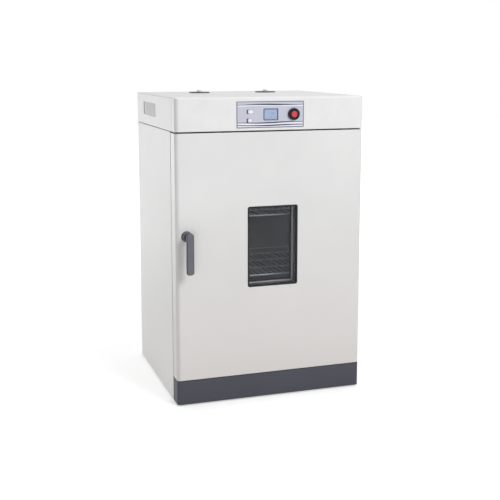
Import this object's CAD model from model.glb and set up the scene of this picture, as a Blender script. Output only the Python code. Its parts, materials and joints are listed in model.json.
"""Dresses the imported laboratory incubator: painted steel, control plate, lever, window, seal and studio.

Lengths are in metres in the part's own frame: +X to the right of the door, +Y to the back, +Z up.
"""

import json
import logging
import math
from dataclasses import dataclass, field, replace
from enum import Enum

import bmesh
import bpy
import numpy as np
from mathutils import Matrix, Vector
from numpy.typing import NDArray


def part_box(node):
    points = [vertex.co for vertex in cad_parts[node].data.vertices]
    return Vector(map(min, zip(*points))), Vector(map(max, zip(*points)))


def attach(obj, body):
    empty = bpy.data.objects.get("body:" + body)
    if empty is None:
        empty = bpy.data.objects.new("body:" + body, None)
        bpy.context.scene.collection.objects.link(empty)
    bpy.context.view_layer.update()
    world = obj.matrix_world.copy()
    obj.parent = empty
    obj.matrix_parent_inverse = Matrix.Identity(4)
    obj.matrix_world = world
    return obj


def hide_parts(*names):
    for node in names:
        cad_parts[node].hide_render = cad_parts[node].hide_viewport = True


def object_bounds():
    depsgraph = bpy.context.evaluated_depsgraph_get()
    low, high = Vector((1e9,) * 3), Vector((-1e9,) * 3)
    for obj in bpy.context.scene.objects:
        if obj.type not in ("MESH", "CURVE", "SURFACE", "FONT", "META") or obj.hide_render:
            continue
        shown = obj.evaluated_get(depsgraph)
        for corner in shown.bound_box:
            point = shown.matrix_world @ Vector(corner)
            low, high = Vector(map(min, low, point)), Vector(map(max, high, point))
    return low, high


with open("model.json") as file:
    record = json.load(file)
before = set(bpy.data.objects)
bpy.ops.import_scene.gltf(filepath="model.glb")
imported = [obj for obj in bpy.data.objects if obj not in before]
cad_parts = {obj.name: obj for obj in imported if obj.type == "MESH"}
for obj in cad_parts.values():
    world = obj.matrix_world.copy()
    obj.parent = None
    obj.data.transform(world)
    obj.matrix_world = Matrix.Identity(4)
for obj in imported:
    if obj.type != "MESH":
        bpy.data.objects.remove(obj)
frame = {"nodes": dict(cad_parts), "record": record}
CAD_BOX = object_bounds()

log = logging.getLogger("incubator")

Array = NDArray[np.float64]
Loop = tuple[Array, Array]  # Points and their outward directions, one row each
Pair = tuple[float, float]
Triple = tuple[float, float, float]
Colour = tuple[float, float, float]
Socket = bpy.types.NodeSocket
Sockets = bpy.types.bpy_prop_collection
Value = Socket | float

MM = 0.001

SHADE: Colour = (0.2, 0.2, 0.2)
FLANK: Colour = (0.018, 0.018, 0.024)
GRIME: Colour = (0.02, 0.02, 0.022)
DUST: Colour = (0.52, 0.5, 0.46)
DUST_ROUGHNESS = 0.35
COAT_ROUGHNESS = 0.12
LOW_TINT_SPAN: Pair = (750.0 * MM, 50.0 * MM)
TONE_SPAN: Pair = (0.3, 0.7)
MATT_SPAN: Pair = (0.2, 0.8)
MATT_SHARES: Pair = (0.9, 1.12)
ROUND_POINTS = 72


class Grain(Enum):
    """How the surface of a finish is structured."""

    POWDER = "powder"
    MOULDED = "moulded"
    BRUSHED_ACROSS = "brushed across"
    BRUSHED_UP = "brushed up"


class Facing(Enum):
    """The way that a flat-backed piece stands out: its sign along Y, or along X on the cabinet's sides."""

    FRONT = -1.0
    BACK = 1.0
    LEFT = -1.0
    RIGHT = 1.0


# Node graphs


class Graph:
    """A node tree with short calls for adding and joining nodes."""

    def __init__(self, tree: bpy.types.NodeTree) -> None:
        """Keeps the tree that the calls work on."""
        self.tree = tree

    @classmethod
    def emptied(cls, owner: bpy.types.Material | bpy.types.World) -> "Graph":
        """Starts the graph of a material or a world without its usual nodes.

        Args:
            owner: The material or world.

        Returns:
            Its empty graph.
        """
        owner.use_nodes = True
        owner.node_tree.nodes.clear()
        return cls(owner.node_tree)

    def node(self, kind: str, **settings: object) -> bpy.types.Node:
        """Adds a node.

        Args:
            kind: The node's type name.
            settings: Properties to set on it.

        Returns:
            The new node.
        """
        made = self.tree.nodes.new(kind)
        for name, value in settings.items():
            setattr(made, name, value)
        return made

    def feed(self, target: Socket, value: Value | tuple[float, ...]) -> None:
        """Joins a socket to the target, or writes a plain value on it.

        Args:
            target: The input socket.
            value: A socket or a plain value.
        """
        if isinstance(value, Socket):
            self.tree.links.new(value, target)
        else:
            target.default_value = value

    def fill(self, node: bpy.types.Node, **values: Value | tuple[float, ...]) -> bpy.types.Node:
        """Feeds a node's inputs.

        Args:
            node: The node.
            values: Its inputs by name, with underscores for spaces.

        Returns:
            The same node.
        """
        for name, value in values.items():
            self.feed(node.inputs[name.replace("_", " ")], value)
        return node

    def show(self, shader: bpy.types.Node, output: str = "ShaderNodeOutputMaterial") -> None:
        """Joins a shader to the surface of a new output node."""
        self.fill(self.node(output), Surface=shader.outputs[0])

    def math(self, operation: str, first: Value, second: Value = 0.0, clamp: bool = False) -> Socket:
        """Adds a Math node.

        Args:
            operation: Name of the operation.
            first: First operand.
            second: Second operand.
            clamp: Whether the result is kept between 0 and 1.

        Returns:
            The result's socket.
        """
        made = self.node("ShaderNodeMath", operation=operation, use_clamp=clamp)
        self.feed(made.inputs[0], first)
        self.feed(made.inputs[1], second)
        return made.outputs[0]

    def times(self, first: Value, second: Value, clamp: bool = False) -> Socket:
        """Returns the product of two values."""
        return self.math("MULTIPLY", first, second, clamp)

    def plus(self, first: Value, second: Value, clamp: bool = False) -> Socket:
        """Returns the sum of two values."""
        return self.math("ADD", first, second, clamp)

    def place(self) -> Socket:
        """Returns the place on the piece, in the part's own frame."""
        return self.node("ShaderNodeTexCoord").outputs["Object"]

    def normal(self) -> Socket:
        """Returns the way that the surface faces in the room."""
        return self.node("ShaderNodeNewGeometry").outputs["Normal"]

    def rounded(self, radius: Value) -> Socket:
        """Returns the surface's way with its edges rounded by a radius."""
        return self.fill(self.node("ShaderNodeBevel", samples=4), Radius=radius).outputs["Normal"]

    def axis(self, vector: Socket, name: str) -> Socket:
        """Takes one number out of a vector.

        Args:
            vector: The vector.
            name: X, Y or Z.

        Returns:
            Its number along that axis.
        """
        parts = self.node("ShaderNodeSeparateXYZ")
        self.feed(parts.inputs[0], vector)
        return parts.outputs[name]

    def seen(self) -> Socket:
        """Tells what is seen from what only lights: 1 for rays of the camera, a mirror or glass, else 0.

        Returns:
            The result's socket.
        """
        rays = self.node("ShaderNodeLightPath").outputs
        direct = self.math("MAXIMUM", rays["Is Camera Ray"], rays["Is Glossy Ray"])
        return self.math("MAXIMUM", direct, rays["Is Transmission Ray"])

    def stretch(self, vector: Socket, scale: Triple) -> Socket:
        """Returns a vector scaled along each axis."""
        return self.fill(self.node("ShaderNodeMapping"), Vector=vector, Scale=scale).outputs[0]

    def noise(self, vector: Socket, scale: Value, detail: float = 2.0, roughness: float = 0.5) -> Socket:
        """Returns a noise pattern: scale repeats a metre, finer layers by detail and roughness."""
        made = self.node("ShaderNodeTexNoise")
        return self.fill(made, Vector=vector, Scale=scale, Detail=detail, Roughness=roughness).outputs[0]

    def span(
        self, value: Value, low: float, high: float, to_low: Value = 0.0, to_high: Value = 1.0
    ) -> Socket:
        """Maps a value from one range to another and clamps it.

        Args:
            value: The value to map.
            low: Start of its range.
            high: End of its range.
            to_low: Result at the start.
            to_high: Result at the end.

        Returns:
            The mapped value.
        """
        made = self.node("ShaderNodeMapRange", clamp=True)
        self.fill(made, Value=value, From_Min=low, From_Max=high, To_Min=to_low, To_Max=to_high)
        return made.outputs[0]

    def blend(self, factor: Value, first: Socket | Colour, second: Socket | Colour) -> Socket:
        """Mixes two colours, on the sockets that a Mix node keeps for colours.

        Args:
            factor: Share of the second colour.
            first: First colour.
            second: Second colour.

        Returns:
            The mixed colour.
        """
        made = self.node("ShaderNodeMix", data_type="RGBA", clamp_factor=True)
        self.feed(made.inputs[0], factor)
        for target, given in ((made.inputs[6], first), (made.inputs[7], second)):
            self.feed(target, given if isinstance(given, Socket) else (*given, 1.0))
        return made.outputs[2]

    def effect(self, tree: bpy.types.NodeTree, **values: Value) -> Sockets:
        """Places a shared effect and returns its outputs."""
        return self.fill(self.node("ShaderNodeGroup", node_tree=tree), **values).outputs


def new_effect(name: str, inputs: dict[str, float], *outputs: str) -> tuple[Graph, Sockets, Sockets]:
    """Starts a shared effect as a shader node group of plain values.

    Args:
        name: Name of the group.
        inputs: Names of its inputs with their usual values.
        outputs: Names of its outputs.

    Returns:
        The group's graph, the sockets that give its inputs and those that take its outputs.
    """
    tree = bpy.data.node_groups.new(name, "ShaderNodeTree")
    for label, usual in inputs.items():
        given = tree.interface.new_socket(name=label, in_out="INPUT", socket_type="NodeSocketFloat")
        given.default_value = usual
    for label in outputs:
        tree.interface.new_socket(name=label, in_out="OUTPUT", socket_type="NodeSocketFloat")
    graph = Graph(tree)
    return graph, graph.node("NodeGroupInput").outputs, graph.node("NodeGroupOutput").inputs


def new_material(name: str) -> tuple[bpy.types.Material, Graph, bpy.types.Node]:
    """Starts a material on a Principled shader.

    Args:
        name: Name of the material.

    Returns:
        The material, its graph and its shader.
    """
    made = bpy.data.materials.new(name)
    graph = Graph.emptied(made)
    shader = graph.node("ShaderNodeBsdfPrincipled")
    graph.show(shader)
    return made, graph, shader


class Effects:
    """The effects that several finishes share."""

    def __init__(self) -> None:
        """Makes each effect once."""
        self.powder = self._powder()
        self.moulded = self._moulded()
        self.brushed = self._brushed()
        self.wear = self._wear()
        self.dust = self._dust()
        self.crevice = self._crevice()
        self.side_shade = self._side_shade()
        self.flank_shade = self._flank_shade()

    @staticmethod
    def _powder() -> bpy.types.NodeTree:
        """Powder paint: the soft waves of baked paint as a height, and slow drifts of tone.

        Returns:
            The group, which puts out a height and a tone.
        """
        graph, given, put = new_effect("powder_paint", {"Size": 520.0}, "Height", "Tone")
        place = graph.place()
        waves = graph.noise(place, given["Size"], roughness=0.4)
        fine = graph.noise(place, graph.times(given["Size"], 4.0), detail=1.0)
        graph.feed(put["Height"], graph.plus(waves, graph.times(fine, 0.25)))
        graph.feed(put["Tone"], graph.noise(place, 2.6, detail=3.0, roughness=0.55))
        return graph.tree

    @staticmethod
    def _moulded() -> bpy.types.NodeTree:
        """Moulded plastic: the pebbled skin of a textured mould, and a cloudy tone.

        Returns:
            The group, which puts out a height and a tone.
        """
        graph, given, put = new_effect("moulded_skin", {"Size": 900.0}, "Height", "Tone")
        place = graph.place()
        cells = graph.node("ShaderNodeTexVoronoi", feature="SMOOTH_F1")
        graph.fill(cells, Vector=place, Scale=given["Size"])
        graph.feed(put["Height"], cells.outputs["Distance"])
        graph.feed(put["Tone"], graph.noise(place, 18.0))
        return graph.tree

    @staticmethod
    def _brushed() -> bpy.types.NodeTree:
        """Brushed metal: noise drawn out along the brush, either across or up the piece.

        Returns:
            The group, which puts out a height and a tone.
        """
        graph, given, put = new_effect("brushed_metal", {"Upward": 0.0, "Size": 900.0}, "Height", "Tone")
        place = graph.place()
        drawn_out = 0.012
        across, upright = (
            graph.noise(graph.stretch(place, scale), given["Size"], roughness=0.6)
            for scale in ((drawn_out, 1.0, 1.0), (1.0, 1.0, drawn_out))
        )
        across = graph.times(across, graph.math("SUBTRACT", 1.0, given["Upward"]))
        line = graph.plus(across, graph.times(upright, given["Upward"]))
        graph.feed(put["Height"], line)
        clouds = graph.noise(place, 5.0)
        graph.feed(put["Tone"], graph.plus(graph.times(line, 0.6), graph.times(clouds, 0.4)))
        return graph.tree

    @staticmethod
    def _wear() -> bpy.types.NodeTree:
        """Edge wear: how far the normal turns within a radius, broken up by noise unless even.

        Returns:
            The group, which puts out a mask.
        """
        usual = {"Radius": 1.2 * MM, "Amount": 0.3, "Even": 0.0}
        graph, given, put = new_effect("edge_wear", usual, "Mask")
        agree = graph.node("ShaderNodeVectorMath", operation="DOT_PRODUCT")
        graph.feed(agree.inputs[0], graph.rounded(given["Radius"]))
        graph.feed(agree.inputs[1], graph.node("ShaderNodeNewGeometry").outputs["True Normal"])
        turn = graph.span(graph.math("SUBTRACT", 1.0, agree.outputs["Value"]), 0.02, 0.25)
        chips = graph.span(graph.noise(graph.place(), 160.0, detail=4.0, roughness=0.65), 0.35, 0.65)
        chips = graph.math("MAXIMUM", chips, given["Even"])
        graph.feed(put["Mask"], graph.times(graph.times(turn, chips), given["Amount"], clamp=True))
        return graph.tree

    @staticmethod
    def _dust() -> bpy.types.NodeTree:
        """A dust film: it lies on what faces up, in soft patches.

        Returns:
            The group, which puts out a mask.
        """
        graph, given, put = new_effect("dust_film", {"Amount": 0.1}, "Mask")
        upward = graph.span(graph.axis(graph.normal(), "Z"), 0.55, 1.0)
        patches = graph.span(graph.noise(graph.place(), 34.0, detail=5.0, roughness=0.6), 0.3, 0.75)
        graph.feed(put["Mask"], graph.times(graph.times(upward, patches), given["Amount"], clamp=True))
        return graph.tree

    @staticmethod
    def _crevice() -> bpy.types.NodeTree:
        """The grime of narrow gaps: where nearly all that is close by is covered.

        Returns:
            The group, which puts out a mask.
        """
        graph, given, put = new_effect("crevice_grime", {"Distance": 20.0 * MM, "Amount": 0.5}, "Mask")
        around = graph.node("ShaderNodeAmbientOcclusion", samples=6)
        graph.fill(around, Distance=given["Distance"])
        deep = graph.span(around.outputs["AO"], 0.5, 0.15)
        graph.feed(put["Mask"], graph.times(deep, given["Amount"], clamp=True))
        return graph.tree

    @staticmethod
    def _flank_shade() -> bpy.types.NodeTree:
        """The darker skin of a piece's left and right flanks, by the normal on the piece itself.

        Returns:
            The group, which puts out a mask.
        """
        graph, given, put = new_effect("flank_shade", {"Amount": 0.5}, "Mask")
        across = graph.axis(graph.node("ShaderNodeTexCoord").outputs["Normal"], "X")
        sideways = graph.span(graph.math("ABSOLUTE", across), 0.2, 0.7)
        graph.feed(put["Mask"], graph.times(sideways, given["Amount"], clamp=True))
        return graph.tree

    @staticmethod
    def _side_shade() -> bpy.types.NodeTree:
        """The soft dark line along a front's left edge: it fades to the right within a reach.

        Returns:
            The group, which puts out a mask.
        """
        usual = {"Edge": -346.0 * MM, "Reach": 16.0 * MM, "Amount": 0.3}
        graph, given, put = new_effect("side_shade", usual, "Mask")
        away = graph.math("SUBTRACT", graph.axis(graph.place(), "X"), given["Edge"])
        near = graph.span(graph.math("DIVIDE", away, given["Reach"]), 1.0, 0.15)
        front = graph.span(graph.axis(graph.normal(), "Y"), -0.6, -0.95)
        graph.feed(put["Mask"], graph.times(graph.times(near, front), given["Amount"], clamp=True))
        return graph.tree


@dataclass(frozen=True)
class Finish:
    """One surface finish, with its grain, wear and dust.

    Attributes:
        name: Name of the material.
        colour: Its clean colour.
        roughness: Its usual roughness.
        metallic: Share of bare metal.
        grain: Structure of the surface.
        grain_size: Repeats of the grain for each metre.
        grain_depth: Depth of the grain.
        tone_shift: Drift of the colour over the surface.
        worn: Colour of a worn edge.
        wear: Strength of the wear.
        even: Share of the wear that runs on along an edge without breaks.
        edge: Radius by which edges look rounded.
        dust: Strength of the dust.
        coat: Strength of a clear coat.
        gloss: Strength of the plain reflection.
        low_tint: Colour that the piece turns to towards the floor, where it does.
        crevice: Strength of the grime in gaps.
        side_shade: Strength of the dark line along the left edge of the cabinet's front.
        flanks: Strength of the dark skin on the left and right flanks.
    """

    name: str
    colour: Colour
    roughness: float
    metallic: float = 0.0
    grain: Grain = Grain.POWDER
    grain_size: float = 520.0
    grain_depth: float = 0.03 * MM
    tone_shift: float = 0.03
    worn: Colour = (0.6, 0.6, 0.58)
    wear: float = 0.25
    even: float = 0.0
    edge: float = 1.2 * MM
    dust: float = 0.06
    coat: float = 0.0
    gloss: float = 0.5
    low_tint: Colour | None = None
    crevice: float = 0.0
    side_shade: float = 0.0
    flanks: float = 0.0

    @classmethod
    def moulded(cls, name: str, colour: Colour, roughness: float, **values: float | Colour) -> "Finish":
        """Returns the finish of a moulded piece."""
        return cls(name, colour, roughness, grain=Grain.MOULDED, **values)

    def material(self, effects: Effects) -> bpy.types.Material:
        """Builds the material: tone, wear and dust in the colour, grain in the bump, softened edges.

        Args:
            effects: The shared effects.

        Returns:
            The material.
        """
        made, graph, shader = new_material(self.name)
        height, tone = self._grain(graph, effects)
        dark = tuple(channel * (1.0 - 2.0 * self.tone_shift) for channel in self.colour)
        light = tuple(min(channel * (1.0 + self.tone_shift), 1.0) for channel in self.colour)
        colour = graph.blend(graph.span(tone, *TONE_SPAN), dark, light)
        if self.low_tint:
            low = graph.span(graph.axis(graph.place(), "Z"), *LOW_TINT_SPAN)
            colour = graph.blend(low, colour, self.low_tint)
        layers = (
            (effects.side_shade, self.side_shade, SHADE, {"Edge": CAD_BOX[0][0]}),
            (effects.flank_shade, self.flanks, FLANK, {}),
            (effects.wear, self.wear, self.worn, {"Radius": self.edge, "Even": self.even}),
            (effects.crevice, self.crevice, GRIME, {}),
        )
        for effect, amount, tint, values in layers:
            if amount:
                mask = graph.effect(effect, Amount=amount, **values)["Mask"]
                colour = graph.blend(mask, colour, tint)
        film = graph.effect(effects.dust, Amount=self.dust)["Mask"]
        matt = graph.span(tone, *MATT_SPAN, *(self.roughness * share for share in MATT_SHARES))
        bump = graph.fill(graph.node("ShaderNodeBump"), Strength=1.0, Distance=self.grain_depth,
                          Height=height, Normal=graph.rounded(self.edge))
        graph.fill(
            shader,
            Base_Color=graph.blend(film, colour, DUST),
            Roughness=graph.plus(matt, graph.times(film, DUST_ROUGHNESS), clamp=True),
            Metallic=self.metallic,
            Specular_IOR_Level=self.gloss,
            Coat_Weight=self.coat,
            Coat_Roughness=COAT_ROUGHNESS,
            Normal=bump.outputs["Normal"],
        )
        return made

    def _grain(self, graph: Graph, effects: Effects) -> tuple[Socket, Socket]:
        """Places this finish's grain.

        Args:
            graph: The material's graph.
            effects: The shared effects.

        Returns:
            Height and tone.
        """
        match self.grain:
            case Grain.BRUSHED_ACROSS | Grain.BRUSHED_UP:
                upward = float(self.grain is Grain.BRUSHED_UP)
                made = graph.effect(effects.brushed, Upward=upward, Size=self.grain_size)
            case Grain.MOULDED:
                made = graph.effect(effects.moulded, Size=self.grain_size)
            case Grain.POWDER:
                made = graph.effect(effects.powder, Size=self.grain_size)
        return made["Height"], made["Tone"]


@dataclass(frozen=True)
class GlassFinish:
    """Clear or tinted glass with faint smears."""

    name: str
    colour: Colour
    roughness: float = 0.02
    bend: float = 1.22
    smear_size: float = 40.0
    smear_tone: float = 0.96
    smear_matt: float = 2.5
    smear_span: Pair = (0.35, 0.75)

    def material(self, effects: Effects) -> bpy.types.Material:
        """Builds the glass: light passes through, and a smear pattern dulls its gloss a little.

        Args:
            effects: The shared effects.

        Returns:
            The material.
        """
        made, graph, shader = new_material(self.name)
        smears = graph.effect(effects.powder, Size=self.smear_size)["Tone"]
        smeared = tuple(channel * self.smear_tone for channel in self.colour)
        smeared_roughness = self.roughness * self.smear_matt
        graph.fill(
            shader,
            Base_Color=graph.blend(smears, smeared, self.colour),
            Roughness=graph.span(smears, *self.smear_span, self.roughness, smeared_roughness),
            Transmission_Weight=1.0,
            IOR=self.bend,
        )
        return made


@dataclass(frozen=True)
class ScreenFinish:
    """A backlit display panel whose light falls off towards its edges."""

    name: str
    colour: Colour
    glow: float
    middle: Pair
    reach: float
    edge_tone: float = 0.82
    row_turns: float = 9000.0
    row_tone: float = 0.04
    grain_size: float = 2200.0
    matt: Pair = (0.3, 0.42)

    def material(self, effects: Effects) -> bpy.types.Material:
        """Builds the lit panel: glow by the distance from its middle, with a faint row pattern.

        Args:
            effects: The shared effects.

        Returns:
            The material.
        """
        made, graph, shader = new_material(self.name)
        place = graph.place()
        across = graph.math("SUBTRACT", graph.axis(place, "X"), self.middle[0])
        up = graph.math("SUBTRACT", graph.axis(place, "Z"), self.middle[1])
        square = graph.plus(graph.times(across, across), graph.times(up, up))
        fall = graph.span(square, 0.0, self.reach**2)
        rows = graph.math("SINE", graph.times(graph.axis(place, "Z"), self.row_turns))
        shade = graph.plus(fall, graph.times(rows, self.row_tone), clamp=True)
        colour = graph.blend(shade, self.colour, tuple(channel * self.edge_tone for channel in self.colour))
        tone = graph.effect(effects.moulded, Size=self.grain_size)["Tone"]
        graph.fill(
            shader,
            Base_Color=colour,
            Emission_Color=colour,
            Emission_Strength=self.glow,
            Roughness=graph.span(tone, *MATT_SPAN, *self.matt),
        )
        return made


# Surfaces


def quarter_turns(steps: int) -> Loop:
    """Directions of a whole turn in four quarters.

    A direction is the cosine and sine of its angle. Each quarter starts with the angle that the one before
    ended with, so that a corner can be set at each quarter.

    Args:
        steps: Points in each quarter.

    Returns:
        Directions, and the signs of each one's corner along both axes, one row each.
    """
    angle = np.linspace(0.0, np.pi / 2, steps)[None, :] + np.arange(4)[:, None] * (np.pi / 2)
    way = np.stack([np.cos(angle), np.sin(angle)], axis=-1).reshape(-1, 2)
    return way, np.repeat(np.array([[1, 1], [-1, 1], [-1, -1], [1, -1]], float), steps, axis=0)


def rounded_loop(width: float, height: float, radius: float, steps: int = 9) -> Loop:
    """Returns a rounded rectangle: each corner's centre plus the radius times its quarter turn's ways."""
    way, corner = quarter_turns(steps)
    return corner * np.array([width / 2 - radius, height / 2 - radius]) + radius * way, way


def circle_loop(radius: float, count: int) -> Loop:
    """Circle about the origin: the radius times the cosine and sine of the angle.

    Args:
        radius: The circle's radius.
        count: Number of points.

    Returns:
        Points and outward directions.
    """
    angle = np.linspace(0.0, 2 * np.pi, count, endpoint=False)
    way = np.stack([np.cos(angle), np.sin(angle)], axis=-1)
    return radius * way, way


def arc(centre: Pair, radius: float, start: float, end: float, count: int) -> Array:
    """Returns an arc: the centre plus the radius times the cosine and sine of angles given in degrees."""
    angle = np.radians(np.linspace(start, end, count))
    return np.stack([centre[0] + radius * np.cos(angle), centre[1] + radius * np.sin(angle)], axis=-1)


def flat_profile(inner: float, outer: float, height: float) -> Array:
    """Returns the profile of a flat strip between two outward shifts."""
    return np.array([[inner, 0.0], [outer, 0.0], [outer, height], [inner, height]])


def rim_profile(width: float, height: float, lip: float, count: int) -> Array:
    """Profile of a rim with upright sides: each side ends in a quarter circle of the lip's radius.

    Args:
        width: Width of the rim, inwards from the loop.
        height: Height of the rim.
        lip: Radius of both upper edges.
        count: Points of each quarter circle.

    Returns:
        Points, one row each.
    """
    return np.concatenate([
        [[-width, 0.0], [0.0, 0.0]],
        arc((-lip, height - lip), lip, 0, 90, count),
        arc((lip - width, height - lip), lip, 90, 180, count),
    ])


def carry(loop: Loop, profile: Array, centre: Pair, base: float, facing: Facing = Facing.FRONT) -> Array:
    """Carries a profile round an upright loop.

    A grid point is the loop's point, moved outwards by the profile's first number and away from the base
    plane by its second.

    Args:
        loop: Points and outward directions in X and Z.
        profile: Rows of outward shift and height.
        centre: Middle of the loop in X and Z.
        base: Place of the base plane along Y.
        facing: Way that the height goes.

    Returns:
        Grid of points, loop by profile.
    """
    points, ways = loop
    flat = points[:, None, :] + ways[:, None, :] * profile[None, :, :1]
    depth = np.broadcast_to(base + facing.value * profile[None, :, 1], flat.shape[:2])
    return np.stack([centre[0] + flat[..., 0], depth, centre[1] + flat[..., 1]], axis=-1)


def ribbon(along: Array, middle: Array, width: Array, base: float, height: float) -> Array:
    """Thin raised ribbon on an upright plate.

    At each place along X, four corners stand half the width over and under the middle line, on the base
    plane and at the height before it.

    Args:
        along: Places along X.
        middle: Height Z of the middle line at each place.
        width: Width at each place.
        base: Place of the plate's face along Y.
        height: Amount that the ribbon stands out.

    Returns:
        Grid of points, four corners by place.
    """
    side = np.array([-0.5, 0.5, 0.5, -0.5])[:, None]
    out = np.array([0.0, 0.0, 1.0, 1.0])[:, None]
    z = middle[None, :] + side * width[None, :]
    x, y = (np.broadcast_to(values, z.shape) for values in (along[None, :], base - out * height))
    return np.stack([x, y, z], axis=-1)


def stroke(ends: Pair, level: float, width: float, base: float, height: float) -> Array:
    """Returns a straight ribbon between two places along X, of one width and with its middle at a level."""
    return ribbon(np.array(ends), np.full(2, level), np.full(2, width), base, height)


def new_object(name: str, data: bpy.types.ID) -> bpy.types.Object:
    """Puts an object into the scene, at the origin.

    Args:
        name: Its name.
        data: Its mesh, lamp or camera.

    Returns:
        The object.
    """
    made = bpy.data.objects.new(name, data)
    bpy.context.scene.collection.objects.link(made)
    return made


@dataclass
class Shell:
    """Grids of points gathered into one mesh piece."""

    name: str
    points: list[Array] = field(default_factory=list)
    faces: list[list[int]] = field(default_factory=list)

    def add(self, grid: Array, around: bool = True, closed: bool = False, ends: bool = True) -> "Shell":
        """Adds a grid with its quads, worked out as whole index arrays.

        Args:
            grid: Points by row and column.
            around: Whether the rows close on themselves.
            closed: Whether the columns close on themselves.
            ends: Whether the first and last column are filled.

        Returns:
            This shell.
        """
        rows, columns = grid.shape[:2]
        start = sum(len(part) for part in self.points)
        index = start + np.arange(rows * columns).reshape(rows, columns)
        here = index if around else index[:-1]
        beside = np.roll(index, -1, axis=0) if around else index[1:]
        if closed:
            after = (np.roll(here, -1, axis=1), np.roll(beside, -1, axis=1))
        else:
            after = (here[:, 1:], beside[:, 1:])
            here, beside = here[:, :-1], beside[:, :-1]
        quads = np.stack([here, beside, after[1], after[0]], axis=-1).reshape(-1, 4)
        self.points.append(grid.reshape(-1, 3))
        self.faces.extend(quads.tolist())
        if ends and not closed:
            self.faces.extend([index[::-1, 0].tolist(), index[:, -1].tolist()])
        return self

    def mesh(self) -> bpy.types.Mesh:
        """Puts the gathered grids into one mesh.

        Returns:
            The mesh, with the points and faces as they came.
        """
        made = bpy.data.meshes.new(self.name)
        made.from_pydata(np.concatenate(self.points).tolist(), [], self.faces)
        return made

    def piece(
        self,
        palette: "Palette",
        body: str,
        slot: str,
        *replaces: str,
        finish: str = "",
        crease: float = 32.0,
    ) -> None:
        """Makes the mesh object with outward faces, lets it ride on its body and gives it its finish.

        Args:
            palette: The finishes.
            body: Name of the body it rides on.
            slot: The record's material slot.
            replaces: Nodes that it stands for.
            finish: Name of its finish, where that isn't the slot's own.
            crease: Angle in degrees over which an edge stays sharp.
        """
        mesh = self.mesh()
        work = bmesh.new()
        work.from_mesh(mesh)
        bmesh.ops.remove_doubles(work, verts=work.verts, dist=1e-7)
        bmesh.ops.recalc_face_normals(work, faces=work.faces)
        work.to_mesh(mesh)
        work.free()
        mesh.polygons.foreach_set("use_smooth", np.ones(len(mesh.polygons), bool))
        mesh.set_sharp_from_angle(angle=math.radians(crease))
        mesh.materials.append(palette.by_name[finish or slot])
        made = new_object(self.name, mesh)
        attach(made, body)
        if replaces:
            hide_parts(*replaces)
        log.info("%s: %d faces on body %s", self.name, len(mesh.polygons), body)


@dataclass(frozen=True)
class Place:
    """Box of a node, read from the part."""

    low: Vector
    high: Vector

    @classmethod
    def of(cls, node: str) -> "Place":
        """Returns the box of the named node."""
        return cls(*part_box(node))

    @property
    def middle(self) -> Pair:
        """Middle in X and Z."""
        return (self.low.x + self.high.x) / 2, (self.low.z + self.high.z) / 2

    @property
    def size(self) -> Triple:
        """Width, depth and height."""
        return tuple(self.high[axis] - self.low[axis] for axis in range(3))


# Finishes


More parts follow.
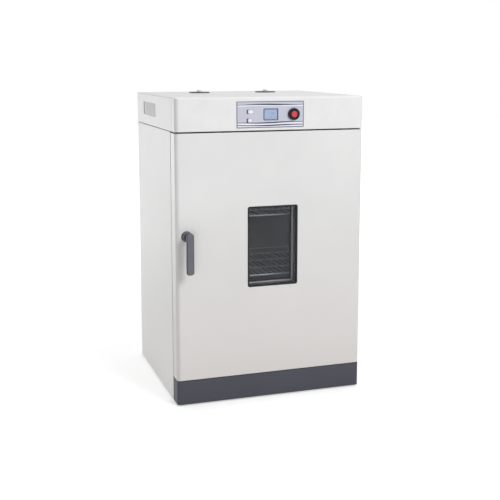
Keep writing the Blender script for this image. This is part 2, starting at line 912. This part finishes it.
class Palette:
    """All finishes of the incubator, by the record's material slots or by their own names."""

    def __init__(self, effects: Effects) -> None:
        """Makes every material once.

        Args:
            effects: The shared effects.
        """
        moulded = Finish.moulded
        panel = Finish("white_powder_paint", (0.715, 0.715, 0.712), 0.45, worn=(0.7, 0.7, 0.7), dust=0.04,
                       gloss=0.25, low_tint=(0.815, 0.805, 0.795), crevice=0.95)
        door = replace(panel, name="white_door_paint", colour=(0.78, 0.78, 0.777),
                       low_tint=(0.72, 0.688, 0.672), side_shade=0.3)
        screen = Place.of("display_window")
        finishes: dict[str, Finish | GlassFinish | ScreenFinish] = {
            "white_panel": panel,
            "fascia_plastic": moulded("white_moulded_head", (0.81, 0.81, 0.81), 0.46, grain_size=1500.0,
                                      grain_depth=0.012 * MM, tone_shift=0.015, worn=(0.75, 0.75, 0.75),
                                      edge=2.0 * MM, gloss=0.25, crevice=0.95, side_shade=0.45),
            "grey_panel": Finish("galvanised_back", (0.62, 0.63, 0.64), 0.42, metallic=0.35,
                                 grain_size=90.0, grain_depth=0.01 * MM, tone_shift=0.06),
            "dark_plate": Finish("slate_powder_paint", (0.069, 0.071, 0.09), 0.55, grain_size=650.0,
                                 grain_depth=0.05 * MM, tone_shift=0.05, worn=(0.012, 0.012, 0.016),
                                 wear=0.85, even=0.8, edge=3.0 * MM, gloss=0.3),
            "foot_rubber": moulded("black_rubber_foot", (0.03, 0.03, 0.03), 0.8),
            "stainless": Finish("stainless_steel", (0.42, 0.42, 0.42), 0.3, metallic=0.9,
                                grain=Grain.BRUSHED_UP, grain_size=900.0, grain_depth=0.01 * MM,
                                tone_shift=0.05, worn=(0.75, 0.75, 0.75), dust=0.03),
            "bright_wire": moulded("bright_shelf_wire", (0.96, 0.96, 0.95), 0.25, metallic=0.2,
                                   grain_size=300.0, grain_depth=0.004 * MM, wear=0.1, edge=0.4 * MM,
                                   dust=0.0),
            "zinc_steel": Finish("zinc_plated_steel", (0.56, 0.57, 0.58), 0.36, metallic=0.9,
                                 grain_size=220.0, grain_depth=0.01 * MM, tone_shift=0.06, dust=0.05),
            "insulation": Finish("mineral_wool", (0.55, 0.47, 0.26), 0.95, grain_size=260.0,
                                 grain_depth=0.8 * MM, tone_shift=0.12, wear=0.0),
            "heater_tube": Finish("heater_tube_steel", (0.16, 0.12, 0.1), 0.5, metallic=0.8,
                                  grain_size=180.0, tone_shift=0.15),
            "fan_alloy": Finish("spun_aluminium", (0.68, 0.69, 0.7), 0.3, metallic=0.95,
                                grain=Grain.BRUSHED_ACROSS, grain_size=800.0, grain_depth=0.008 * MM,
                                tone_shift=0.04),
            "louvre_grey": moulded("light_louvre_plastic", (0.37, 0.37, 0.385), 0.5,
                                   grain_depth=0.02 * MM, wear=0.0),
            "control_face": Finish("silver_control_film", (0.52, 0.53, 0.62), 0.34, metallic=0.25,
                                   grain=Grain.BRUSHED_ACROSS, grain_size=1400.0, grain_depth=0.003 * MM,
                                   tone_shift=0.02, worn=(0.6, 0.6, 0.66), edge=0.4 * MM, dust=0.0),
            "bezel_blue": moulded("blue_display_bezel", (0.05, 0.06, 0.16), 0.25,
                                  grain_depth=0.004 * MM, edge=0.5 * MM, dust=0.0, coat=0.4),
            "display_lens": GlassFinish("display_lens_glass", (0.86, 0.92, 0.98)),
            "circuit_board": moulded("green_circuit_board", (0.02, 0.13, 0.06), 0.4),
            "module_case": Finish("module_housing_steel", (0.5, 0.51, 0.52), 0.35, metallic=0.8,
                                  grain_size=200.0),
            "terminal_grey": moulded("terminal_plastic", (0.3, 0.3, 0.29), 0.5),
            "gland_black": moulded("black_gland_plastic", (0.02, 0.02, 0.02), 0.45),
            "knob_black": moulded("black_knob_plastic", (0.008, 0.008, 0.011), 0.5, grain_size=1800.0,
                                  grain_depth=0.01 * MM, worn=(0.05, 0.05, 0.05), edge=0.5 * MM, gloss=0.2),
            "button_red": moulded("red_button_plastic", (0.6, 0.028, 0.045), 0.3, grain_size=1800.0,
                                  grain_depth=0.006 * MM, worn=(0.7, 0.2, 0.2), edge=0.6 * MM, dust=0.0,
                                  coat=0.3),
            "key_white": moulded("white_key_plastic", (0.86, 0.87, 0.9), 0.35, grain_size=1800.0,
                                 grain_depth=0.006 * MM, worn=(0.6, 0.6, 0.6), edge=0.5 * MM),
            "vent_dark": moulded("dark_vent_plastic", (0.1, 0.1, 0.105), 0.5, dust=0.2),
            "vent_light": moulded("light_vent_knob", (0.82, 0.82, 0.82), 0.4),
            "gasket_grey": moulded("grey_silicone_seal", (0.24, 0.24, 0.25), 0.6, grain_size=1200.0,
                                   grain_depth=0.02 * MM, wear=0.0, dust=0.1),
            "window_black": moulded("black_window_plastic", (0.014, 0.014, 0.018), 0.38,
                                    grain_size=1500.0, grain_depth=0.01 * MM, worn=(0.07, 0.07, 0.07),
                                    edge=0.6 * MM, dust=0.0, gloss=0.25),
            "window_glass": GlassFinish("window_glass", (0.83, 0.855, 0.89)),
            "bush_brass": Finish("brass_bush", (0.62, 0.42, 0.16), 0.3, metallic=0.95, grain_size=300.0,
                                 grain_depth=0.005 * MM),
            "handle_grey": moulded("blue_grey_handle", (0.13, 0.131, 0.158), 0.45, grain_size=1300.0,
                                   grain_depth=0.018 * MM, worn=(0.3, 0.3, 0.34), wear=0.1, dust=0.0,
                                   gloss=0.35, flanks=0.9),
            "print_white": moulded("printed_white", (0.88, 0.88, 0.92), 0.4, grain_depth=0.002 * MM,
                                   wear=0.0, dust=0.0),
            "print_blue": moulded("printed_dark_blue", (0.02, 0.022, 0.05), 0.5, grain_depth=0.002 * MM,
                                  wear=0.0, dust=0.0, gloss=0.25),
            "screen": ScreenFinish("lit_display_panel", (0.34, 0.37, 0.46), 0.3, screen.middle,
                                   reach=screen.size[0] * 0.7),
            "screen_mark": moulded("display_segments", (0.2, 0.24, 0.36), 0.4, wear=0.0, dust=0.0),
        }
        self.by_name = {name: finish.material(effects) for name, finish in finishes.items()}
        self.by_node = {"door_shell": door.material(effects)}

    def dress_nodes(self) -> None:
        """Puts each slot's finish on the nodes that the record gives to it."""
        slots = {row["node"]: row["material_slot"] for row in frame["record"]["subparts"]}
        for node, piece in frame["nodes"].items():
            material = self.by_node.get(node) or self.by_name[slots[node]]
            if piece.material_slots:
                for socket in piece.material_slots:
                    socket.material = material
            else:
                piece.data.materials.append(material)
        log.info("dressed %d nodes", len(slots))


# Sub-assemblies


@dataclass
class Assembly:
    """A sub-assembly, with the palette that dresses its pieces."""

    palette: Palette

    def build(self) -> None:
        """Makes the pieces."""
        raise NotImplementedError


@dataclass
class LeverHandle(Assembly):
    """Lever with its neck and hanging grip, and the rose under it."""

    corner: float = 4.0 * MM
    corner_limit: float = 0.95
    end_round: float = 9.0 * MM
    grip_depth: float = 14.0 * MM
    neck_radius: float = 8.5 * MM
    neck_reach: float = 0.75
    flare: float = 3.0 * MM
    rose_gap: float = 0.3 * MM
    rose_edge: float = 0.6 * MM
    rose_lip: float = 1.2 * MM
    rose_dome: float = 0.55

    def build(self) -> None:
        """Makes the lever and the rose."""
        lever = Place.of("handle_lever")
        rose = Place.of("handle_rose")
        shell = Shell("lever").add(self.grip(lever)).add(self.neck(lever, rose.middle[1]))
        shell.piece(self.palette, "handle", "handle_grey", "handle_lever")
        shell = Shell("lever_rose").add(self.rose(rose))
        shell.piece(self.palette, "door", "handle_grey", "handle_rose")

    def grip(self, place: Place) -> Array:
        """Hanging grip.

        Each level is a rounded rectangle. Near both ends its half sizes shrink by the end radius times one
        less the cosine of the angle that climbs the end's quarter circle.

        Args:
            place: The lever's box.

        Returns:
            Grid of points, round the grip by level.
        """
        climb = np.linspace(np.pi / 2, 0.0, 9)
        rise = self.end_round * (1 - np.sin(climb))
        shrink = self.end_round * (1 - np.cos(climb))
        straight = np.linspace(place.high.z - self.end_round, place.low.z + self.end_round, 12)[1:-1]
        z = np.concatenate([place.high.z - rise, straight, place.low.z + rise[::-1]])
        inset = np.concatenate([shrink, np.zeros_like(straight), shrink[::-1]])
        half_w = place.size[0] / 2 - inset
        half_d = self.grip_depth / 2 - inset * self.corner / self.end_round
        radius = np.minimum(self.corner, np.minimum(half_w, half_d) * self.corner_limit)
        way, corner = quarter_turns(9)
        x = place.middle[0] + corner[:, :1] * (half_w - radius) + way[:, :1] * radius
        y = place.low.y + self.grip_depth / 2 + corner[:, 1:] * (half_d - radius) + way[:, 1:] * radius
        return np.stack([x, y, np.broadcast_to(z, x.shape)], axis=-1)

    def neck(self, place: Place, axis_z: float) -> Array:
        """Round neck whose radius grows by the cube of the way towards the grip.

        Args:
            place: The lever's box.
            axis_z: Height of the lever's axis.

        Returns:
            Grid of points, round the neck by place along it.
        """
        back = place.high.y
        front = place.low.y + self.grip_depth * self.neck_reach
        share = np.linspace(0.0, 1.0, 16)
        way = circle_loop(1.0, 48)[1]
        radius = self.neck_radius + self.flare * share**3
        x = place.middle[0] + radius * way[:, :1]
        y = np.broadcast_to(back + (front - back) * share, x.shape)
        return np.stack([x, y, axis_z + radius * way[:, 1:]], axis=-1)

    def rose(self, place: Place) -> Array:
        """Rose with a rounded shoulder and an inner lip, closed round the neck.

        Args:
            place: The rose's box.

        Returns:
            Grid of points, round the rose by profile.
        """
        radius = place.size[0] / 2
        height = place.size[1]
        dome = height * self.rose_dome
        inner = self.neck_radius + self.rose_gap - radius
        profile = np.concatenate([
            [[inner, 0.0], [0.0, 0.0]],
            arc((-self.rose_edge, height - dome), self.rose_edge, 0, 20, 3),
            arc((-dome, height - dome), dome, 5, 90, 10),
            arc((inner + self.rose_lip, height - self.rose_lip), self.rose_lip, 90, 180, 5),
        ])
        return carry(circle_loop(radius, ROUND_POINTS), profile, place.middle, place.high.y)


@dataclass
class WindowSurround(Assembly):
    """Rim on the door's face."""

    corner: float = 7.0 * MM
    width: float = 6.0 * MM
    lip: float = 0.8 * MM

    def build(self) -> None:
        """Makes the rim as a profile with two rounded lips carried round the window."""
        place = Place.of("window_rim")
        profile = rim_profile(self.width, place.size[1], self.lip, 6)
        loop = rounded_loop(place.size[0], place.size[2], self.corner)
        shell = Shell("window_frame").add(carry(loop, profile, place.middle, place.high.y), closed=True)
        shell.piece(self.palette, "door", "window_black", "window_rim")


@dataclass
class DoorSeal(Assembly):
    """Silicone seal on the inside of the door."""

    corner: float = 16.0 * MM
    foot: float = 16.0 * MM
    foot_height: float = 1.5 * MM
    foot_edge: float = 0.6
    bulb: float = 9.6 * MM
    bulb_power: float = 0.7

    def build(self) -> None:
        """Makes the seal: a flat foot and a bulb, whose height is a power of the sine, round the door."""
        place = Place.of("door_gasket")
        rise = place.size[1] - self.foot_height
        edge = self.foot_height * self.foot_edge
        angle = np.radians(np.linspace(0, 180, 15))
        across = -self.foot / 2 + self.bulb / 2 * np.cos(angle)
        back = np.stack([across, self.foot_height + rise * np.sin(angle) ** self.bulb_power], axis=-1)
        profile = np.concatenate([
            [[-self.foot, 0.0], [0.0, 0.0], [0.0, edge]],
            back,
            [[-self.foot, edge]],
        ])
        loop = rounded_loop(place.size[0], place.size[2], self.corner, 12)
        grid = carry(loop, profile, place.middle, place.low.y, Facing.BACK)
        shell = Shell("door_seal").add(grid, closed=True)
        shell.piece(self.palette, "door", "gasket_grey", "door_gasket")


@dataclass
class JogKnob(Assembly):
    """Fluted jog ring with the push cap in its middle.

    Heights count from the control plate's face. The straight part of the grip starts over the foot and ends
    under the shoulder by two shifts. The dome's rim and the core, the innermost ring, are shares of the
    cap's radius.
    """

    flutes: int = 36
    flute_points: int = 8
    flute_depth: float = 0.55 * MM
    shoulder: float = 2.2 * MM
    foot: float = 0.4 * MM
    foot_round: float = 0.8 * MM
    inner_round: float = 1.2 * MM
    straight: Pair = (2.0 * MM, -1.0 * MM)
    gap: float = 0.4 * MM
    dish: float = 5.0 * MM
    cap_radius: float = 11.0 * MM
    cap_depth: float = 8.4 * MM
    cap_round: float = 1.1 * MM
    cap_edge: float = 0.2 * MM
    cap_core: float = 0.02
    dome: float = 0.9
    hollow: float = 0.88 * MM

    def build(self) -> None:
        """Makes the ring and the cap."""
        face = Place.of("control_plate").low.y
        ring = Place.of("jog_ring")
        shell = Shell("jog_ring_fluted").add(self.ring(ring, face), closed=True)
        shell.piece(self.palette, "jog_knob", "knob_black", "jog_ring", crease=50.0)
        cap = Place.of("knob_button")
        shell = Shell("push_cap").add(self.cap(cap, face))
        shell.piece(self.palette, "knob_button", "button_red", "knob_button")

    def ring(self, place: Place, base: float) -> Array:
        """Fluted ring.

        The radius along the grip loses the flute depth times the square of the sine of the flute angle,
        fading out over the shoulder.

        Args:
            place: The ring's box.
            base: Place of the plate's face.

        Returns:
            Grid of points, round the ring by profile.
        """
        radius = place.size[0] / 2
        height = base - place.low.y
        inner = self.cap_radius + self.gap - radius
        grip = np.linspace(self.foot + self.straight[0], height - self.shoulder + self.straight[1], 5)
        profile = np.concatenate([
            [[inner, self.foot]],
            arc((-self.foot_round, self.foot + self.foot_round), self.foot_round, -90, 0, 4),
            np.stack([np.zeros_like(grip), grip], axis=-1),
            arc((-self.shoulder, height - self.shoulder), self.shoulder, 0, 90, 8),
            arc((inner + self.inner_round, height - self.inner_round), self.inner_round, 90, 180, 6),
            [[inner, height - self.dish]],
        ])
        count = self.flutes * self.flute_points
        grid = carry(circle_loop(radius, count), profile, place.middle, base)
        angle = np.linspace(0.0, 2 * np.pi, count, endpoint=False)[:, None]
        fade = np.clip(1.0 + profile[None, :, 0] / self.shoulder, 0.0, 1.0)
        cut = self.flute_depth * np.sin(angle * self.flutes / 2) ** 2 * fade / radius
        centre = np.array(place.middle)
        grid[..., [0, 2]] = centre + (grid[..., [0, 2]] - centre) * (1 - cut[..., None])
        return grid

    def cap(self, place: Place, base: float) -> Array:
        """Domed push cap with a finger hollow: its height dips by a cosine about the middle.

        Args:
            place: The cap's box.
            base: Place of the plate's face.

        Returns:
            Grid of points, round the cap by profile.
        """
        radius = self.cap_radius
        height = base - place.low.y
        foot = height - self.cap_depth
        share = np.linspace(1.0, self.cap_core, 14)
        dip = self.hollow * (0.5 + 0.5 * np.cos(np.pi * share))
        profile = np.concatenate([
            [[-radius * (1.0 - self.cap_core), foot], [0.0, foot]],
            arc((-self.cap_round, height - self.cap_round - self.cap_edge), self.cap_round, 0, 85, 6),
            np.stack([radius * share * self.dome - radius, height - dip], axis=-1),
        ])
        return carry(circle_loop(radius, ROUND_POINTS), profile, place.middle, base)


@dataclass
class Louvres(Assembly):
    """Louvres in the head's sides: a frame and a row of upright blades, which reach under the frame."""

    count: int = 26
    opening: Pair = (208.0 * MM, 48.0 * MM)
    overlap: float = 3.0 * MM
    frame_depth: float = 2.0 * MM
    blade_width: float = 7.3 * MM
    blade_thick: float = 0.9 * MM
    blade_inset: float = 0.2 * MM
    sink: float = 1.7 * MM
    lip: float = 6.2 * MM

    def build(self) -> None:
        """Makes the louvre of each side: the frame is carried as on a front, then turned to the side."""
        for node, side in (("louvre_left", Facing.LEFT), ("louvre_right", Facing.RIGHT)):
            place = Place.of(node)
            outside = place.low.x if side is Facing.LEFT else place.high.x
            middle = ((place.low.y + place.high.y) / 2, place.middle[1])
            rim = (place.size[1] - self.opening[0]) / 2
            profile = flat_profile(-rim, 0.0, self.frame_depth)
            loop = rounded_loop(place.size[1], place.size[2], rim)
            grid = carry(loop, profile, middle, outside - side.value * self.frame_depth, side)
            shell = Shell(node + "_blades").add(grid[..., [1, 0, 2]], closed=True)
            for start in (np.arange(self.count) + 0.5) / self.count - 0.5:
                shell.add(self.blade(outside, side, middle[0] + start * self.opening[0], middle[1]))
            shell.piece(self.palette, "cabinet", "louvre_grey", node)

    def blade(self, outside: float, side: Facing, y: float, z: float) -> Array:
        """One upright blade.

        Its face sinks by the square of the way from the back edge to the front edge. The back edge folds
        inwards as a lip, and the inner line follows at the blade's thickness.

        Args:
            outside: Place of the frame's outer face along X.
            side: Way that the louvre faces, along X.
            y: The blade's middle.
            z: The louvre's middle.

        Returns:
            Grid of points, round the section by height.
        """
        share = np.linspace(0.0, 1.0, 9)
        along = (share - 0.5) * self.blade_width
        deep = self.blade_inset + self.sink * (1 - share) ** 2
        back = self.blade_width / 2
        section = np.concatenate([
            np.stack([along, deep], axis=-1),
            [[back, self.lip], [back - self.blade_thick, self.lip]],
            np.stack([along - self.blade_thick * share, deep + self.blade_thick], axis=-1)[::-1],
        ])
        half = self.opening[1] / 2 + self.overlap
        level = np.broadcast_to(np.array([z - half, z + half]), (len(section), 2))
        x = np.broadcast_to(outside - side.value * section[:, 1:], level.shape)
        return np.stack([x, np.broadcast_to(y + section[:, :1], level.shape), level], axis=-1)


@dataclass(frozen=True)
class Band:
    """One printed band of the control plate.

    Attributes:
        finish: Name of its finish.
        level: Height of its middle line over the plate's bottom, or under its top as a negative number.
        wave: Height of the middle line's wave.
        width: Width at its ends.
        swell: Width that is added in its middle.
        power: Power of the sine by which it swells.
        start: Share of the way across at which the wave starts.
    """

    finish: str
    level: float
    wave: float
    width: float
    swell: float
    power: int
    start: float = 0.1

    def grid(self, plate: Place, inset: float, height: float) -> Array:
        """Ribbon whose middle line is one sine wave and whose width swells by a power of a half sine.

        Args:
            plate: The control plate's box.
            inset: Distance of the ends from the plate's edges.
            height: Amount that it stands out.

        Returns:
            Grid of points, four corners by place.
        """
        share = np.linspace(0.0, 1.0, 61)
        low, high = plate.low.x + inset, plate.high.x - inset
        edge = plate.low.z if self.level > 0.0 else plate.high.z
        middle = edge + self.level + self.wave * np.sin(2 * np.pi * (share - self.start))
        width = self.width + self.swell * np.sin(np.pi * share) ** self.power
        return ribbon(low + (high - low) * share, middle, width, plate.low.y, height)


@dataclass(frozen=True)
class Reading:
    """A reading of the display: figures of seven bars, set over or under the lens's middle by its rise."""

    digits: str
    size: float
    rise: float


@dataclass
class ControlPanel(Assembly):
    """Display, keys and the printed lines of the control plate.

    A border and a hollow are shifts from the edge of the plate or of a key, and a mark's ends are shifts
    from the middle of its upright line. The bars of a figure are named a to f from its top round to the
    right, and g in its middle. Half a figure's width and height, its pitch and its bars' thickness are
    shares of its height. The reach of a level and an upright bar are shares of those halves, and where a
    bar's tips start and how wide they end are shares of the bar.
    """

    print_height: float = 0.06 * MM
    print_inset: float = 3.0 * MM
    plate_corner: float = 3.0 * MM
    border: Pair = (-2.2 * MM, -0.3 * MM)
    bezel_corner: float = 3.0 * MM
    bezel_width: float = 3.0 * MM
    bezel_lip: float = 0.7 * MM
    panel_gap: float = 0.15 * MM
    panel_edge: float = 1.0 * MM
    panel_thick: float = 0.1 * MM
    key_play: float = 1.8 * MM
    key_corner: float = 4.4 * MM
    key_edge: float = 0.8 * MM
    key_wall: float = 2.0 * MM
    key_hollow: tuple[Pair, ...] = ((-2.2 * MM, -0.1 * MM), (-4.2 * MM, -0.35 * MM))
    mark_offset: float = 2.6 * MM
    mark_width: float = 3.6 * MM
    mark_ends: Pair = (-1.8 * MM, 7.0 * MM)
    mark_gap: float = 0.4 * MM
    mark_line: float = 1.6 * MM
    scale_steps: int = 9
    scale_pitch: float = 3.6 * MM
    scale_mark: Pair = (2.2 * MM, 1.4 * MM)
    scale_drop: float = 15.2 * MM
    figure_half: Pair = (0.27, 0.5)
    figure_pitch: float = 0.85
    bar_thick: float = 0.13
    bar_share: Pair = (0.9, 0.42)
    bar_tips: Pair = (0.7, 0.15)
    readings: tuple[Reading, ...] = (
        Reading("370", 9.0 * MM, 3.2 * MM),
        Reading("375", 5.0 * MM, -9.0 * MM),
    )
    lit: dict[str, str] = field(default_factory=lambda: {
        "0": "abcdef", "3": "abgcd", "5": "afgcd", "7": "abc",
    })
    printed: tuple[Band, ...] = (
        Band("print_blue", -11.4 * MM, 1.0 * MM, 1.0 * MM, 3.6 * MM, 2),
        Band("print_white", -15.6 * MM, 1.0 * MM, 2.4 * MM, 0.8 * MM, 1),
        Band("print_blue", 18.0 * MM, -1.6 * MM, 1.4 * MM, 2.8 * MM, 2),
        Band("print_white", 13.2 * MM, -1.4 * MM, 3.8 * MM, 0.6 * MM, 1),
        Band("print_blue", 8.4 * MM, -1.2 * MM, 1.4 * MM, 2.8 * MM, 2),
        Band("print_white", 4.6 * MM, -0.6 * MM, 2.8 * MM, -0.6 * MM, 1),
    )

    def build(self) -> None:
        """Makes the display, the keys and the printed lines."""
        plate = Place.of("control_plate")
        self.display()
        self.keys(plate)
        for number, band in enumerate(self.printed):
            grid = band.grid(plate, self.print_inset, self.print_height)
            self.printed_piece(Shell(f"printed_band_{number}").add(grid), band.finish)
        loop = rounded_loop(plate.size[0], plate.size[2], self.plate_corner)
        grid = carry(loop, flat_profile(*self.border, self.print_height), plate.middle, plate.low.y)
        self.printed_piece(Shell("plate_border").add(grid, closed=True))

    def printed_piece(self, shell: Shell, finish: str = "print_blue") -> None:
        """Makes a piece that is printed on the control plate."""
        shell.piece(self.palette, "cabinet", "control_face", finish=finish)

    def display(self) -> None:
        """Makes the bezel, the lit panel behind the lens and its figures."""
        place = Place.of("display_bezel")
        profile = rim_profile(self.bezel_width, place.size[1], self.bezel_lip, 5)
        loop = rounded_loop(place.size[0], place.size[2], self.bezel_corner)
        grid = carry(loop, profile, place.middle, place.high.y)
        shell = Shell("display_frame").add(grid, closed=True)
        shell.piece(self.palette, "cabinet", "bezel_blue", "display_bezel")
        lens = Place.of("display_window")
        edge = self.panel_edge
        back = lens.high.y + self.panel_gap
        loop = rounded_loop(lens.size[0] - edge, lens.size[2] - edge, edge, 3)
        grid = carry(loop, flat_profile(-edge, 0.0, self.panel_thick), lens.middle, back)
        Shell("lit_panel").add(grid).piece(self.palette, "cabinet", "display_lens", finish="screen")
        self.figures(lens, back - self.panel_thick)

    def figures(self, lens: Place, base: float) -> None:
        """Makes the readings and a bar scale under them.

        Args:
            lens: The lens's box.
            base: Face of the lit panel along Y.
        """
        shell = Shell("display_figures")
        across, up = lens.middle
        for reading in self.readings:
            for place, digit in enumerate(reading.digits):
                x = across + (place - 1) * reading.size * self.figure_pitch
                for bar in self.lit[digit]:
                    shell.add(self.bar(bar, x, up + reading.rise, reading.size, base))
        length, width = self.scale_mark
        for step in range(self.scale_steps):
            x = across + (step - self.scale_steps // 2) * self.scale_pitch
            ends = (x - length / 2, x + length / 2)
            shell.add(stroke(ends, up - self.scale_drop, width, base, self.print_height))
        shell.piece(self.palette, "cabinet", "display_lens", finish="screen_mark")

    def bar(self, bar: str, x: float, z: float, size: float, base: float) -> Array:
        """One bar of a figure, as a short ribbon with pointed ends.

        Args:
            bar: Letter of the bar.
            x: Middle of the figure.
            z: Middle of the figure.
            size: Height of the figure.
            base: Face that it lies on.

        Returns:
            Grid of points.
        """
        half_w, half_h = (size * share for share in self.figure_half)
        across, upright = self.bar_share
        neck, tip = self.bar_tips
        level = {"a": half_h, "g": 0.0, "d": -half_h}
        share = np.array([-1.0, -neck, neck, 1.0])
        taper = np.array([tip, 1.0, 1.0, tip]) * size * self.bar_thick
        if bar in level:
            along = x + share * half_w * across
            return ribbon(along, np.full(4, z + level[bar]), taper, base, self.print_height)
        side = half_w if bar in "bc" else -half_w
        middle = half_h / 2 if bar in "bf" else -half_h / 2
        grid = ribbon(share * half_h * upright, np.zeros(4), taper, base, self.print_height)
        return np.stack([x + side + grid[..., 2], grid[..., 1], z + middle + grid[..., 0]], axis=-1)

    def keys(self, plate: Place) -> None:
        """Makes the two key caps with a bevelled edge and a hollow face, and the dark marks beside them.

        Args:
            plate: The control plate's box.
        """
        marks = Shell("key_marks")
        base = plate.low.y
        for node in ("power_key", "menu_key"):
            place = Place.of(node)
            centre = place.middle
            width = place.size[0] - self.key_play
            depth = place.size[2] - self.key_play
            height = base - place.low.y
            profile = np.concatenate([
                [[-self.key_wall, -height], [0.0, -height]],
                arc((-self.key_edge, height - self.key_edge), self.key_edge, 0, 90, 6),
                np.array(self.key_hollow) + np.array([0.0, height]),
            ])
            loop = rounded_loop(width, depth, self.key_corner, 7)
            shell = Shell(node + "_cap").add(carry(loop, profile, centre, base))
            shell.piece(self.palette, node, "key_white", node)
            left = centre[0] - width / 2 - self.mark_offset
            upright = (centre[1] - depth / 2, centre[1] + depth / 2)
            grid = stroke(upright, left, self.mark_width, base, self.print_height)
            marks.add(grid[..., [2, 1, 0]])
            ends = (left + self.mark_ends[0], left + self.mark_ends[1])
            for sign in (-1.0, 1.0):
                edge = centre[1] + sign * (depth / 2 + self.mark_gap)
                marks.add(stroke(ends, edge, self.mark_line, base, self.print_height))
        self.printed_piece(marks)


@dataclass(frozen=True)
class Lamp:
    """A square soft lamp: its place, what it points at, the length of its side and its watts."""

    name: str
    place: Triple
    aim: Triple
    side: float
    power: float

    def hang(self) -> None:
        """Puts the lamp into the scene."""
        data = bpy.data.lights.new(self.name, "AREA")
        data.size = self.side
        data.energy = self.power
        made = new_object(self.name, data)
        made.location = self.place
        aim = Vector(self.aim) - Vector(self.place)
        made.rotation_euler = aim.to_track_quat("-Z", "Y").to_euler()


@dataclass
class Studio:
    """Floor, white surroundings, soft lamps and the camera."""

    camera_place: Triple = (-1.0693, -3.3027, 1.2)
    pitch: float = 8.87
    yaw: float = -18.21
    lens: float = 66.17
    shift: float = -0.09
    sensor: float = 36.0
    surround: float = 0.3
    floor_half: float = 14.0
    floor_colour: Colour = (0.9, 0.9, 0.9)
    floor_glow: Pair = (0.42, 1.0)
    floor_span: Pair = (1.1, 3.2)
    lamps: tuple[Lamp, ...] = (
        Lamp("key_lamp", (1.1, -3.1, 2.8), (0.1, -0.3, 0.95), 1.4, 70.0),
        Lamp("side_lamp", (-2.5, 3.3, 0.8), (-0.34, 0.0, 0.2), 1.5, 55.0),
        Lamp("fill_lamp", (-1.7, -3.2, 0.6), (-0.2, -0.3, 0.15), 1.1, 13.0),
        Lamp("top_lamp", (0.2, 0.6, 3.6), (0.0, 0.0, 1.0), 2.4, 34.0),
    )

    def build(self) -> None:
        """Makes the floor, the world, the lamps and the camera."""
        self.floor()
        self.world()
        for lamp in self.lamps:
            lamp.hang()
        self.camera()

    def floor(self) -> None:
        """Makes the pale floor: it glows white to the eye, less near the cabinet, and keeps the shadow."""
        share = np.linspace(-1.0, 1.0, 9) * self.floor_half
        x, y = np.meshgrid(share, share, indexing="ij")
        grid = np.stack([x, y, np.zeros_like(x)], axis=-1)
        made = new_object("floor", Shell("floor").add(grid, around=False, ends=False).mesh())
        material = bpy.data.materials.new("pale_floor")
        graph = Graph.emptied(material)
        far = graph.node("ShaderNodeVectorMath", operation="LENGTH")
        graph.feed(far.inputs[0], graph.place())
        level = graph.span(far.outputs["Value"], *self.floor_span, *self.floor_glow)
        glow = graph.fill(graph.node("ShaderNodeEmission"), Strength=graph.times(graph.seen(), level))
        matt = graph.fill(graph.node("ShaderNodeBsdfDiffuse"), Color=(*self.floor_colour, 1.0))
        both = graph.node("ShaderNodeAddShader")
        graph.feed(both.inputs[0], matt.outputs[0])
        graph.feed(both.inputs[1], glow.outputs[0])
        graph.show(both)
        made.data.materials.append(material)

    def world(self) -> None:
        """Makes the surroundings: white to the eye, and dimmer as a light."""
        world = bpy.data.worlds.new("white_room")
        bpy.context.scene.world = world
        graph = Graph.emptied(world)
        strength = graph.span(graph.seen(), 0.0, 1.0, self.surround, 1.0)
        light = graph.node("ShaderNodeBackground")
        graph.fill(light, Color=(1.0, 1.0, 1.0, 1.0), Strength=strength)
        graph.show(light, "ShaderNodeOutputWorld")

    def camera(self) -> None:
        """Places the camera at the photograph's viewing angle."""
        data = bpy.data.cameras.new("view")
        data.sensor_width = self.sensor
        data.lens = self.lens
        data.shift_y = self.shift
        made = new_object("view", data)
        made.location = self.camera_place
        made.rotation_euler = (math.radians(90.0 - self.pitch), 0.0, math.radians(self.yaw))
        bpy.context.scene.camera = made


def main() -> None:
    """Builds the finishes, the sub-assemblies and the studio in order, and reports each one."""
    logging.basicConfig(level=logging.INFO, format="%(name)s: %(message)s")
    bpy.context.scene.view_settings.view_transform = "Standard"
    palette = Palette(Effects())
    palette.dress_nodes()
    for kind in (LeverHandle, WindowSurround, DoorSeal, JogKnob, Louvres, ControlPanel):
        kind(palette).build()
        log.info("built %s", kind.__name__)
    Studio().build()


if __name__ == "__main__":
    main()
